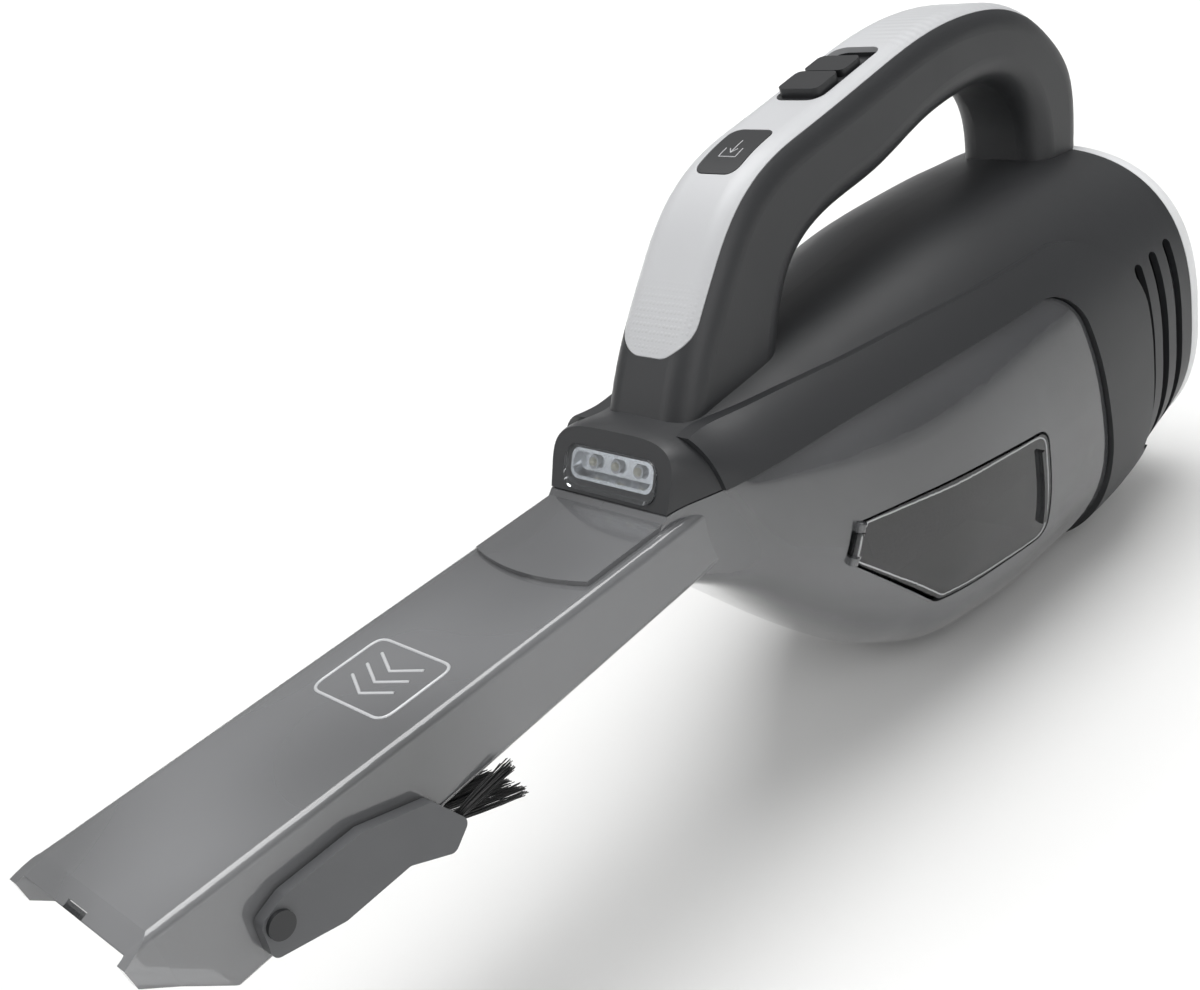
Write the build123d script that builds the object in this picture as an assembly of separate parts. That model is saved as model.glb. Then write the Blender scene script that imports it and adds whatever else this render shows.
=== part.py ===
from build123d import *
import os
from math import atan2, cos, degrees, pi, radians, sin, tan

# Handheld vacuum. X is across, Y runs from the nozzle to the tail, Z is up, all in mm.
# The origin is the middle of the flat foot. A "station" is measured along Y from the nozzle's lip line.

# ---- overall sizes ----
nozzle_length = 170.0        # lip line to the foot of the lamp hood
nozzle_width = 54.0
nozzle_front_height = 28.2
nozzle_rear_height = 19.5
nozzle_underside = 92.5      # above the foot
body_length = 218.5          # lamp hood to the middle of the rear rim
body_width = 116.0
body_height = 133.5          # foot to the crown of the body
handle_height = 54.5         # crown of the body to the top of the handle
handle_width = 34.0
foot_offset = 130.0          # lamp hood to the middle of the foot
foot_low = -1.5              # the belly would reach this low if the foot weren't cut flat
section_count = 20           # sections along the body

# ---- walls, gaps and fits ----
housing_wall = 2.2
bowl_wall = 2.0
handle_wall = 3.4
insert_thickness = 1.8
seam_gap = 0.5               # between bowl and housing
skin_gap = 0.15              # round inlays that don't move
slide_gap = 0.35             # round pieces that move
pin_gap = 0.05               # running clearance of a pin, on the radius

# ---- lip and mouth ----
lip_reach = 8.5              # how far the upper lip stands in front of the lip line
lip_drop = 2.4
mouth_setback = 12.0         # lower lip behind the lip line
front_corner = 2.2
rear_corner = 2.8
lip_width = 57.0             # the rim round the upper lip
lip_depth = 6.0              # upright front of the rim
notch_width = 9.0            # notch in the lip that shows the crevice tool's tab
pad_start = 137.0            # raised pad in front of the lamp
pad_height = 1.5

# ---- seam between bowl and housing ----
seam_front_height = 115.0
seam_rear_height = 106.0
seam_run = 160.0             # lamp hood to the rear seam
seam_corner = 15.0
collar_proud = 1.7
collar_depth = 30.0          # width of the collar behind the rear seam

# ---- tail ----
tail_lean = 8.5              # degrees
tail_half_height = 54.5
tail_center_height = 66.0
cap_depth = 16.0
rebate_depth = 0.5           # step inside the rear rim that the cap's spigot fits in
rebate_length = 3.5
cap_gap = 0.3                # between the rear cap and the handle's rear post
slot_count = 3
slot_pitch = 9.3
slot_width = 4.2
slot_length = 66.0

# ---- handle ----
handle_round = 9.0
hollow_round = 3.0           # inside corners of the handle's hollow
insert_width = 28.0
button_width = 15.6
button_length = 21.0
button_travel = 2.5
button_offset = 85.0         # lamp hood to the middle of the release button
slider_width = 17.2
slider_length = 27.0
slider_travel = 7.0
slider_offset = 128.0        # lamp hood to the middle of the slider, switched off

# ---- brush ----
brush_pivot = (24.0, 103.0)  # station, height
arm_thickness = 3.6
arm_gap = 0.8                # between nozzle side and arm
brush_pin_radius = 2.0
tuft_count = 9

# ---- filters, fan and motor on one axis ----
flow_axis = 54.0             # height
filter_front_radius = 25.0
filter_rear_radius = 33.0
filter_length = 82.0
mesh_wall = 1.2
pleat_count = 22
frame_thickness = 5.0
intake_radius = 26.0
motor_radius = 18.0
motor_length = 32.0
shaft_radius = 1.6
fan_radius = 34.0
fan_depth = 9.0
blade_count = 9

# ---- battery ----
cell_radius = 7.0
cell_length = 50.0
cell_gap = 0.6
cell_count = 3
cell_offset = 100.0          # lamp hood to the front of the cells

# ---- door in the bowl ----
door_gap = 0.8
door_pin_radius = 0.8
knuckle_radius = 1.9

# ---- charge jack ----
jack_bore = 2.8
jack_radius = 4.5
jack_depth = 9.5

hood = nozzle_length
foot_station = hood + foot_offset
seam_station = hood + seam_run
rim_station = hood + body_length
tail_bottom = tail_center_height - tail_half_height
nozzle_half = nozzle_width / 2
body_half = body_width / 2


# ---------------------------------------------------------------- helpers
def y_of(station):
    return station - foot_station


def biggest(shape):
    return max(shape.solids(), key=lambda solid: solid.volume)


def side_face(points):
    """A face in the side view, from (station, height) points."""
    line = Polyline(*[(y_of(s), z) for s, z in points], close=True)
    return make_face(line)


def side_prism(face, low, high):
    """A side-view face pulled across X from low to high."""
    return extrude(Plane.YZ.offset(low) * face, amount=high - low)


def rounded(face, radius, picks=None):
    """The face with its corners rounded; picks are (station, height) points near the corners."""
    corners = face.vertices()
    if picks:
        spots = [Vector(y_of(s), z) for s, z in picks]
        corners = [min(corners, key=lambda v: (Vector(*tuple(v)) - p).length) for p in spots]
    return fillet(corners, radius)


def box_at(x, y, z, dx, dy, dz):
    return Pos(x, y, z) * Box(dx, dy, dz)


def rod(radius, length, start, direction=(0, 1, 0)):
    return extrude(Plane(origin=start, z_dir=direction) * Circle(radius), amount=length)


def ring(outer, inner, length, start, direction=(0, 1, 0)):
    plane = Plane(origin=start, z_dir=direction)
    return extrude(plane * (Circle(outer) - Circle(inner)), amount=length)


def skin_x(shape, station, height):
    """Half width of a shape at one place of its near side."""
    hits = shape.find_intersection_points(Axis((-200, y_of(station), height), (1, 0, 0)))
    return max(point.X for point, normal in hits)


def top_z(shape, station, x=0.0):
    hits = shape.find_intersection_points(Axis((x, y_of(station), 400), (0, 0, -1)))
    return max(point.Z for point, normal in hits)


# ---------------------------------------------------------------- body envelope
def body_table():
    """Station, half width, crown height, belly height, squareness and lean along the body."""
    end = body_length
    crown = body_height
    return [
        (hood - 12, nozzle_half - 6.5, nozzle_underside + 17, nozzle_underside + 4, 2.6, 0),
        (hood + 0.046 * end, nozzle_half - 0.2, crown - 1.5, nozzle_underside - 9.5, 4.2, 0),
        (hood + 0.114 * end, 0.6 * body_half, crown - 2.5, nozzle_underside - 26, 2.6, 0),
        (hood + 0.206 * end, 0.715 * body_half, crown - 2, nozzle_underside - 51.5, 2.35, 0),
        (hood + 0.307 * end, 0.81 * body_half, crown - 1.2, foot_low + 19, 2.25, 0),
        (hood + 0.421 * end, 0.9 * body_half, crown - 0.8, foot_low + 5, 2.25, 1),
        (hood + 0.595 * end, 0.97 * body_half, crown, foot_low, 2.3, 3),
        (hood + 0.801 * end, body_half, crown - 4.5, foot_low + 0.5, 2.4, 0.7 * tail_lean),
        (hood + end, body_half, tail_center_height + tail_half_height, tail_bottom, 2.6, tail_lean),
    ]


def eased(places, values, place):
    """A smooth value between table rows that never swings past them."""
    steps = [b - a for a, b in zip(places, places[1:])]
    slopes = [(b - a) / d for a, b, d in zip(values, values[1:], steps)]
    tangents = [slopes[0]]
    for before, after in zip(slopes, slopes[1:]):
        tangents.append(2 * before * after / (before + after) if before * after > 0 else 0.0)
    tangents.append(slopes[-1])
    index = max(i for i in range(len(steps)) if i == 0 or places[i] <= place)
    d = steps[index]
    t = (place - places[index]) / d
    return ((2 * t**3 - 3 * t**2 + 1) * values[index] + (t**3 - 2 * t**2 + t) * d * tangents[index]
            + (3 * t**2 - 2 * t**3) * values[index + 1] + (t**3 - t**2) * d * tangents[index + 1])


def body_section(station):
    columns = list(zip(*body_table()))
    return (station, *[eased(columns[0], column, station) for column in columns[1:]])


def section_wire(row, grow, slide=0.0):
    station, half, top, bottom, power, lean = row
    middle = (top + bottom) / 2
    rise = (top - bottom) / 2 + grow
    half = half + grow
    tilt = radians(lean)
    points = []
    for step in range(28):
        turn = 2 * pi * step / 28
        c, s = cos(turn), sin(turn)
        across = half * (abs(c) ** (2 / power)) * (1 if c >= 0 else -1)
        up = rise * (abs(s) ** (2 / power)) * (1 if s >= 0 else -1)
        y = y_of(station) + slide * cos(tilt) + up * sin(tilt)
        points.append((across, y, middle - slide * sin(tilt) + up * cos(tilt)))
    return Wire([Edge.make_spline([Vector(*p) for p in points], periodic=True)])


def body_loft(grow):
    first = body_table()[0][0]
    gap = (rim_station - first) / section_count
    stations = [first + gap * i for i in range(section_count + 1)]
    return Solid.make_loft([section_wire(body_section(s), grow) for s in stations])


def tail_plug(grow, start, end):
    """The rear rim's outline carried straight on along the tail's axis."""
    last = body_table()[-1]
    return Solid.make_loft([section_wire(last, grow, start), section_wire(last, grow, end)], True)


# ---------------------------------------------------------------- side-view regions
def seam_region(grow):
    """Where the bowl lives in the side view."""
    face = side_face([
        (hood - 22, -60), (hood - 22, nozzle_underside + 6),
        (hood + 1 + grow * 0.4, seam_front_height + grow),
        (hood + 22, seam_front_height - 0.4 + grow),
        (seam_station + grow, seam_rear_height - 1.0 + grow), (seam_station + grow, -60)])
    corner = (seam_station + grow, seam_rear_height + grow)
    return rounded(face, seam_corner + grow, [corner])


def collar_region():
    back = seam_station + collar_depth
    face = side_face([
        (hood + 17, 60), (hood + 17, 130.0), (hood + 75, 123.5),
        (back + 4, 113.0), (back - 10, -60), (hood + 60, -60)])
    return rounded(face, seam_corner + 18, [(back + 4, 113.0)])


def hood_region(shift):
    """Everything behind the sloped front of the lamp hood."""
    foot = hood + 0.5 + shift
    return side_face([(foot - 3, seam_front_height - 6), (foot + 17, seam_front_height + 28),
                      (foot + 60, 300), (foot + 500, 300), (foot + 500, -60),
                      (foot - 3, -60)])


# ---------------------------------------------------------------- nozzle shapes
def nozzle_top(station):
    fall = nozzle_front_height - nozzle_rear_height
    return nozzle_underside + nozzle_front_height - fall * station / nozzle_length


def nozzle_section(station, width, inset):
    """The nozzle's rounded outline at one station, shrunk by inset."""
    high = nozzle_top(station) - inset
    low = nozzle_underside + inset
    corner = front_corner + (rear_corner - front_corner) * station / nozzle_length - inset
    plane = Plane(origin=(0, y_of(station), (high + low) / 2), x_dir=(1, 0, 0), z_dir=(0, -1, 0))
    outline = RectangleRounded(width - 2 * inset, high - low, max(corner, 0.8))
    return (plane * outline).wire()


def nozzle_loft(inset, start, end):
    return Solid.make_loft([nozzle_section(s, nozzle_width, inset) for s in (start, end)], True)


def lip_flare():
    """The front end, which widens toward the lip."""
    front = nozzle_section(-lip_reach - 1, lip_width, 0)
    return Solid.make_loft([front, nozzle_section(0, nozzle_width, 0)], True)


def mouth_face(setback):
    """What the slanted mouth takes away, in the side view."""
    top = nozzle_top(0)
    return side_face([
        (-60, 160), (2.0 + setback, 160), (2.0 + setback, top + 0.4), (0.0 + setback, top),
        (-lip_reach + setback, top - lip_drop), (0.6 - lip_reach + setback, top - lip_drop - lip_depth),
        (mouth_setback + setback, nozzle_underside),
        (mouth_setback + 6 + setback, nozzle_underside - 12), (-60, nozzle_underside - 12)])


# ---------------------------------------------------------------- handle shapes
def inset_curve(points, inset):
    """A smooth curve through (station, height) points, moved sideways into the material."""
    curve = Spline(*[(y_of(s), z) for s, z in points])
    if not inset:
        return curve
    moved = []
    for step in range(25):
        point, way = curve @ (step / 24), curve % (step / 24)
        moved.append((point.X + way.Y * inset, point.Y - way.X * inset))
    return Spline(*moved)


def handle_side(inset):
    """Side view of the handle: front post, grip, arch and rear post in one loop."""
    top = body_height + handle_height
    outer = inset_curve([
        (hood + 20, 129), (hood + 34, 148), (hood + 47.6, 161.8), (hood + 59.5, 172.3),
        (hood + 70, 178.6), (hood + 86, top - 4.7), (hood + 102, top - 3.4),
        (hood + 133.5, top - 1.3), (hood + 162, top), (hood + 190, top - 3.5),
        (hood + 211, top - 11.5), (hood + 228, top - 26.5), (hood + 237, top - 43),
        (hood + 235, top - 64), (hood + 230, 108)], inset)
    inner = inset_curve([
        (hood + 204, 108), (hood + 206, 123), (hood + 208, 136), (hood + 204, 148),
        (hood + 194, 156.5), (hood + 176, 160.3), (hood + 155, 160), (hood + 128, 156),
        (hood + 97, 154), (hood + 84, 149), (hood + 72, 135), (hood + 58, 108)], inset)
    close_rear = Line(outer @ 1, inner @ 0)
    close_front = Polyline(inner @ 1, (y_of(hood + 26), 108), outer @ 0)
    return make_face([outer, close_rear, inner, close_front])


def handle_solid(inset, corner):
    """The handle's outside, or a smaller copy of it for the hollow and the inlay."""
    bar = side_prism(handle_side(inset), -(handle_width / 2 - inset), handle_width / 2 - inset)
    long_edges = [e for e in bar.edges() if e.length > 100]
    return biggest(fillet(long_edges, corner))


# ---------------------------------------------------------------- shared solids
def flat_foot(wall=0.0):
    return box_at(0, 0, wall - 50, 400, 900, 100)


body = biggest(body_loft(0) - flat_foot())
body_hollow = biggest(body_loft(-housing_wall) - flat_foot(housing_wall))
bowl_hollow = biggest(body_loft(-bowl_wall) - flat_foot(bowl_wall))
handle = handle_solid(0, handle_round)
handle_skin = handle_solid(insert_thickness, handle_round - insert_thickness)
handle_hollow = handle_solid(handle_wall, hollow_round)


# ---------------------------------------------------------------- handle fittings
def plan_prism(width, start, end, corner, low=100, high=260):
    """A rounded rectangle seen from above, between two stations."""
    middle = Pos(0, (y_of(start) + y_of(end)) / 2, low)
    return extrude(middle * RectangleRounded(width, end - start, corner), amount=high - low)


def handle_upper_side():
    """The outer, upper part of the handle's loop, in the side view."""
    return side_face([(hood - 20, 260), (hood + 10, 131), (hood + 34, 131), (hood + 72, 158),
                      (hood + 100, 166), (hood + 170, 172), (hood + 212, 158),
                      (hood + 250, 178), (hood + 250, 260)])


def insert_zone(grow):
    plan = plan_prism(insert_width + 2 * grow, hood + 31 - grow, hood + 224 + grow, 10 + grow)
    return plan & side_prism(handle_upper_side(), -40, 40)


def button_prism(grow, low=100, high=260):
    middle = hood + button_offset
    return plan_prism(button_width + 2 * grow, middle - button_length / 2 - grow,
                      middle + button_length / 2 + grow, 3.5 + grow, low, high)


button_top = top_z(handle, hood + button_offset)
stem_foot = 163.0            # underside of the button's stem
shelf_top = button_top - 16.0
slider_front = hood + slider_offset - slider_length / 2
slider_rise = top_z(handle, slider_front + slider_length + slider_travel) - top_z(handle, slider_front)
slider_slope = atan2(slider_rise, slider_length + slider_travel)


def slider_plane(drop):
    """The plane the slider runs on, lowered by drop below the handle's surface."""
    height = top_z(handle, slider_front) - drop
    turn = degrees(slider_slope)
    return Plane(origin=(0, y_of(slider_front), height), x_dir=(1, 0, 0),
                 z_dir=(0, -sin(radians(turn)), cos(radians(turn))))


def slider_block(width, start, length, low, high, corner):
    """A rounded block in the slider's plane, start measured along its travel."""
    plane = slider_plane(0).offset(low)
    outline = Pos(0, start + length / 2) * RectangleRounded(width, length, corner)
    return extrude(plane * outline, amount=high - low)


def slider_pocket():
    length = slider_length + slider_travel + 2 * slide_gap
    return slider_block(slider_width + 2 * slide_gap, -slide_gap, length, -3.2, 12, 4.5)


def stem_slot():
    stem = 5.0
    length = stem + slider_travel + 2 * slide_gap
    return slider_block(stem + 2 * slide_gap, slider_length / 2 - stem / 2 - slide_gap, length, -9, 2, 1)


def make_handle_insert():
    skin = (handle - handle_skin) & insert_zone(-skin_gap)
    return biggest(skin - button_prism(slide_gap) - slider_pocket())


def make_power_slider():
    plate = slider_block(slider_width, 0, slider_length, -3.0, -0.4, 4.0)
    front_ridge = slider_block(slider_width - 1.6, 2.0, slider_length * 0.42, -0.4, 2.6, 2.2)
    rear_ridge = slider_block(slider_width - 1.6, slider_length * 0.56, slider_length * 0.36, -0.4, 1.9, 2.2)
    stem = slider_block(5.0, slider_length / 2 - 2.5, 5.0, -8.0, -3.0, 0.8)
    return plate + front_ridge + rear_ridge + stem


def make_release_button():
    cap = handle & button_prism(0, button_top - 8.0)
    cap = biggest(cap)
    y = y_of(hood + button_offset)
    stem = rod(2.0, button_top - 7.0 - stem_foot, (0, y, stem_foot), (0, 0, 1))
    return cap + stem


def make_button_spring():
    y = y_of(hood + button_offset)
    wire = 0.45
    height = button_top - 8.0 - shelf_top - 2 * wire
    path = Helix(pitch=height / 4, height=height, radius=3.4)
    coil = sweep(Plane(origin=path @ 0, z_dir=path % 0) * Circle(wire), path=path)
    return Pos(0, y, shelf_top + wire) * coil


# ---------------------------------------------------------------- latch
latch_pivot = (hood + 66.0, 147.0)
latch_pin_radius = 1.5
latch_width = 6.0
hook_station = hood + 38.0


def seam_height(station):
    """Height of the seam's straight upper run."""
    fall = (seam_front_height - 0.4) - (seam_rear_height - 1.0)
    return seam_front_height - 0.4 - fall * (station - hood - 22) / (seam_run - 22)


def make_latch_lever():
    s, z = latch_pivot
    tip = hood + button_offset
    hook = seam_height(hook_station) + 0.5
    face = side_face([(tip + 3, stem_foot - 0.4), (tip + 3, stem_foot - 3), (s + 5, z - 2),
                      (hook_station + 7, hook + 4), (hook_station + 4, hook), (hook_station, hook),
                      (hook_station, hook + 4), (s - 4, z + 4), (tip - 6, stem_foot - 0.4)])
    lever = side_prism(face, -latch_width / 2, latch_width / 2)
    eye = rod(4.2, latch_width, (-latch_width / 2, y_of(s), z), (1, 0, 0))
    hole = rod(latch_pin_radius + pin_gap, 40, (-20, y_of(s), z), (1, 0, 0))
    return lever + eye - hole


def make_latch_pin():
    s, z = latch_pivot
    return rod(latch_pin_radius, 20, (-10, y_of(s), z), (1, 0, 0))


# ---------------------------------------------------------------- lamp
lamp_width = 37.0
lamp_height = 12.5
lamp_lean = atan2(20.0, 34.0)
lamp_center_height = 121.8
lens_depth = 1.6
reflector_depth = 4.2


def lamp_plane(depth):
    """The plane of the hood's sloped front, moved straight back by depth."""
    rise = lamp_center_height - seam_front_height + 6
    station = hood - 2.5 + tan(lamp_lean) * rise + depth
    return Plane(origin=(0, y_of(station), lamp_center_height), x_dir=(1, 0, 0),
                 z_dir=(0, cos(lamp_lean), -sin(lamp_lean)))


def lamp_block(width, height, near, far, corner):
    """A rounded block behind the lamp's front, between two depths."""
    outline = lamp_plane(near) * RectangleRounded(width, height, corner)
    return extrude(outline, amount=far - near, dir=(0, 1, 0))


def lamp_pegs(radius, near, far):
    circles = Sketch() + [Pos(x, 0) * Circle(radius) for x in (-9.0, 0.0, 9.0)]
    return extrude(lamp_plane(near) * circles, amount=far - near, dir=(0, 1, 0))


def make_lamp_lens():
    return lamp_block(lamp_width, lamp_height, -0.6, lens_depth, 4.5)


def make_lamp_reflector():
    far = lens_depth + 0.2 + reflector_depth
    shell = lamp_block(lamp_width - 4, lamp_height - 3.5, lens_depth + 0.2, far, 3)
    dish = lamp_block(lamp_width - 6, lamp_height - 5.5, lens_depth, far - 1.0, 2.5)
    return shell - dish - lamp_pegs(2.2, 0, far + 1)


def make_lamp_board():
    near = lens_depth + 0.2 + reflector_depth + 0.2
    board = lamp_block(lamp_width - 7, lamp_height - 5.5, near, near + 1.0, 1)
    return board + lamp_pegs(2.0, near - 2.6, near)


# ---------------------------------------------------------------- housing
screw_radius = 1.5
screw_head_radius = 3.0
screw_head_height = 2.2
screw_seat = 7.0
boss_radius = 4.4


def screw_spots():
    """Station and height of each screw that joins the housing halves."""
    return [(hood + 60, 124.5), (hood + 108, 169.0), (hood + 198, 168.0),
            (hood + 190, 12.0), (hood + 190, 116.0)]


def housing_outside():
    hood_zone = side_prism(hood_region(0), -90, 90)
    collar = body_loft(collar_proud) - flat_foot()
    collar = biggest(collar & side_prism(collar_region(), -90, 90))
    outside = (body + handle + collar) & hood_zone
    return biggest(outside - side_prism(seam_region(seam_gap / 2), -90, 90))


def housing_inside():
    room = body_hollow + handle_hollow
    room = room & side_prism(hood_region(housing_wall + 0.6), -90, 90)
    solid_parts = [side_prism(seam_region(seam_gap / 2 + housing_wall), -90, 90)]
    solid_parts += [rod(boss_radius, 160, (-80, y_of(s), z), (1, 0, 0)) for s, z in screw_spots()]
    s, z = latch_pivot
    for side in (-1, 1):
        solid_parts.append(rod(3.4, 60, (side * (latch_width / 2 + 0.4), y_of(s), z), (side, 0, 0)))
    y = y_of(hood + button_offset)
    solid_parts.append(box_at(0, y, shelf_top - 1, handle_width, button_length, 2.0))
    return biggest(room - solid_parts)


def side_slots():
    """Exhaust slots, cut straight across the tail."""
    cuts = []
    for index in range(slot_count):
        station = rim_station - 9.5 - slot_pitch * index
        middle = Pos(y_of(station), tail_center_height - 5.0) * Rot(0, 0, 90 - tail_lean)
        face = middle * SlotOverall(slot_length, slot_width)
        cuts.append(side_prism(face, 20, 90))
        cuts.append(side_prism(face, -90, -20))
    return cuts


def jack_mouth_y():
    hits = handle.find_intersection_points(Axis((0, 300, jack_height), (0, -1, 0)))
    return max(point.Y for point, normal in hits) - 0.6


jack_height = 139.0
lamp_dot_height = 152.0
lamp_dot_radius = 1.5


def housing_cuts():
    y = y_of(hood + button_offset)
    hook = y_of(hook_station + 3)
    floor = seam_height(hook_station)
    mouth = jack_mouth_y()
    cuts = [(handle - handle_skin) & insert_zone(0), slider_pocket(), stem_slot()]
    cuts += [button_prism(slide_gap, button_top - 12.0)]
    cuts += [rod(2.0 + slide_gap, 12, (0, y, shelf_top - 8), (0, 0, 1))]
    cuts += [box_at(0, hook, floor + 1, latch_width + 1.5, 15, 8)]
    cuts += [lamp_block(lamp_width + 0.3, lamp_height + 0.3, -6, 6, 4.6)]
    cuts += side_slots()
    cuts += [rod(intake_radius, 12, (0, y_of(seam_station) - 3, flow_axis))]
    cuts += [rod(jack_radius + skin_gap, 30, (0, mouth - 14, jack_height))]
    cuts += [rod(lamp_dot_radius + skin_gap, 30, (0, mouth - 8, lamp_dot_height))]
    s, z = latch_pivot
    cuts += [rod(latch_pin_radius, 20, (-10, y_of(s), z), (1, 0, 0))]
    for s, z in screw_spots():
        cuts.append(rod(screw_radius, 2 * screw_seat + 1, (-screw_seat - 1, y_of(s), z), (1, 0, 0)))
        cuts.append(rod(screw_head_radius + 0.3, 90, (-screw_seat, y_of(s), z), (-1, 0, 0)))
    return cuts


def make_housing():
    shell = biggest(housing_outside() - housing_inside())
    shell = biggest(shell - tail_plug(rebate_depth - housing_wall, -rebate_length, 10))
    shell = biggest(shell - cap_outline(-cap_gap))
    shell = biggest(shell - housing_cuts())
    half = box_at(100, 0, 100, 200, 900, 400)
    return biggest(shell & half), biggest(shell - half)


def make_housing_screws():
    screws = []
    for s, z in screw_spots():
        shank = rod(screw_radius, 2 * screw_seat, (-screw_seat, y_of(s), z), (1, 0, 0))
        head = rod(screw_head_radius, screw_head_height, (-screw_seat, y_of(s), z), (-1, 0, 0))
        cross = box_at(-screw_seat - screw_head_height, y_of(s), z, 2.0, 3.4, 0.7)
        upright = box_at(-screw_seat - screw_head_height, y_of(s), z, 2.0, 0.7, 3.4)
        screws.append(shank + head - cross - upright)
    return Compound(children=[biggest(screw) for screw in screws])


# ---------------------------------------------------------------- bowl and nozzle
def door_face(shrink):
    """Outline of the door in the side view."""
    front, back = hood + 46.5 + shrink, hood + 130 - shrink
    face = side_face([(front + 5.5, 84 - shrink), (back, 71 - shrink), (back - 4, 32 + shrink),
                      (front + 30 + shrink * 0.4, 37 + shrink), (front, 72 + shrink * 0.3)])
    return rounded(face, 5.0 - shrink, [(back, 71 - shrink), (back - 4, 32 + shrink),
                                        (front + 30 + shrink * 0.4, 37 + shrink)])


def hinge_line():
    """Two points on the bowl's skin that the door turns about."""
    low = (hood + 46.5, 72.0)
    high = (hood + 52.0, 84.0)
    ends = [Vector(skin_x(body, s, z) + 0.5, y_of(s), z) for s, z in (low, high)]
    return ends[0], (ends[1] - ends[0]).normalized(), (ends[1] - ends[0]).length


def along_hinge(radius, start, length):
    foot, way, span = hinge_line()
    return rod(radius, length, tuple(foot + way * start), tuple(way))


def bowl_parts():
    """Outside and inside of the bowl with its nozzle."""
    zone = side_prism(seam_region(-seam_gap / 2), -90, 90)
    room_zone = side_prism(seam_region(-seam_gap / 2 - bowl_wall), -90, 90)
    nozzle = nozzle_loft(0, 0, hood + 24) + lip_flare() - side_prism(mouth_face(0), -60, 60)
    throat = nozzle_loft(bowl_wall, -30, hood + 30)
    outside = (body & zone) + nozzle
    inside = (bowl_hollow & (room_zone + rear_opening(room_zone))) + throat
    return biggest(outside), biggest(inside)


def rear_opening(zone):
    """The bowl's room carried out through its open rear."""
    rear = zone.faces().sort_by(Axis.Y)[-1]
    return extrude(rear, amount=8, dir=(0, 1, 0))


def raised_pad():
    """Low pad on the nozzle in front of the lamp, with a bowed front edge."""
    half = nozzle_half - 4
    low, high = y_of(pad_start), y_of(hood + 16)
    bow = ThreePointArc((-half, low + 2.5), (0, low - 1.5), (half, low + 2.5))
    sides = Polyline((half, low + 2.5), (half, high), (-half, high), (-half, low + 2.5))
    block = extrude(Pos(0, 0, nozzle_underside + 4) * make_face([bow, sides]), amount=40)
    wedge = side_face([(s, nozzle_top(s) + lift) for s, lift in (
        (pad_start - 10, pad_height), (hood + 20, pad_height), (hood + 20, -1), (pad_start - 10, -1))])
    return block & side_prism(wedge, -40, 40)


bowl_outside, bowl_inside = bowl_parts()
bowl_shell = biggest(bowl_outside - bowl_inside)


def make_dust_bowl():
    bowl = bowl_outside + raised_pad() - bowl_inside
    notch = box_at(0, y_of(-lip_reach), nozzle_top(0) - 1, notch_width, 9, 8)
    s, z = brush_pivot
    pin_hole = rod(brush_pin_radius + pin_gap, 80, (-40, y_of(s), z), (1, 0, 0))
    catch = box_at(0, y_of(hook_station + 3), seam_height(hook_station), latch_width + 2, 9, 2.0)
    bowl = bowl - [notch, pin_hole, catch, side_prism(door_face(0), 10, 90)]
    span = hinge_line()[2]
    bowl = bowl + [along_hinge(knuckle_radius, 0.2, 2.4), along_hinge(knuckle_radius, span - 2.6, 2.4)]
    bowl = bowl - [along_hinge(knuckle_radius + 0.5, 2.6, span - 5.2), along_hinge(door_pin_radius, 0, span)]
    return biggest(bowl)


def make_dust_door():
    span = hinge_line()[2]
    door = biggest(bowl_shell & side_prism(door_face(door_gap), 10, 90))
    clear = knuckle_radius + 0.5
    door = door - [along_hinge(clear, -0.5, 3.4), along_hinge(clear, span - 2.9, 3.4)]
    door = door + along_hinge(knuckle_radius, 3.1, span - 6.2)
    back = hood + 130 - door_gap
    grip = side_face([(back - 6.0, 66), (back - 4.6, 66), (back - 7.0, 40), (back - 8.4, 40)])
    lip = (body_loft(1.6) - bowl_hollow) & side_prism(grip, 10, 90)
    return biggest(door + lip - along_hinge(door_pin_radius + pin_gap, -1, span + 2))


def make_door_pin():
    span = hinge_line()[2]
    return along_hinge(door_pin_radius, 0, span)


# ---------------------------------------------------------------- crevice tool
tool_width = 41.0
tool_height = 16.0
tool_length = 112.0
tool_wall = 1.4
tool_travel = 90.0


def make_crevice_tool():
    low = nozzle_underside + bowl_wall + 0.5
    front, back = -10.0, mouth_setback + tool_length
    block = plan_prism(tool_width, front - 10, back, 0.5, low, low + tool_height)
    room = plan_prism(tool_width - 2 * tool_wall, front - 20, back + 10, 0.4, low + tool_wall,
                      low + tool_height - tool_wall)
    cut = side_prism(mouth_face(2.5), -60, 60)
    tab = box_at(0, y_of(3.5), low + tool_height + 2.4, 10, 3, 5.2)
    return biggest(block - room - cut + tab)


# ---------------------------------------------------------------- brush
def arm_face():
    s, z = brush_pivot
    outline = side_face([(s - 5, z - 7), (s - 4, z + 3), (s + 4, z + 5.5), (s + 27, z + 4.5),
                         (s + 46, z - 2.5), (s + 53, z - 14.5), (s + 46, z - 19.5),
                         (s + 34, z - 13.0), (s + 14, z - 12.5)])
    return rounded(outline, 2.4)


def arm_start():
    return nozzle_half + arm_gap


def tuft(x, start, end, root_radius, tip_radius):
    low = Vector(x, y_of(start[0]), start[1])
    high = Vector(x, y_of(end[0]), end[1])
    way = (high - low).normalized()
    root = Plane(origin=low, z_dir=way) * Circle(root_radius)
    tip = Plane(origin=high, z_dir=way) * Circle(tip_radius)
    return biggest(loft([root, tip]))


def brush_tufts():
    s, z = brush_pivot
    reach = arm_start()
    tufts = []
    for index in range(tuft_count):
        x = -reach + 4 + (2 * reach - 8) * index / (tuft_count - 1)
        tufts.append(tuft(x, (s + 46.5, z - 14.0), (s + 75, z - 26), 1.3, 2.4))
    for side in (-1, 1):
        tufts.append(tuft(side * (reach + 1.8), (s + 50.0, z - 12.5), (s + 71, z - 11), 1.2, 2.0))
    return tufts


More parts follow.
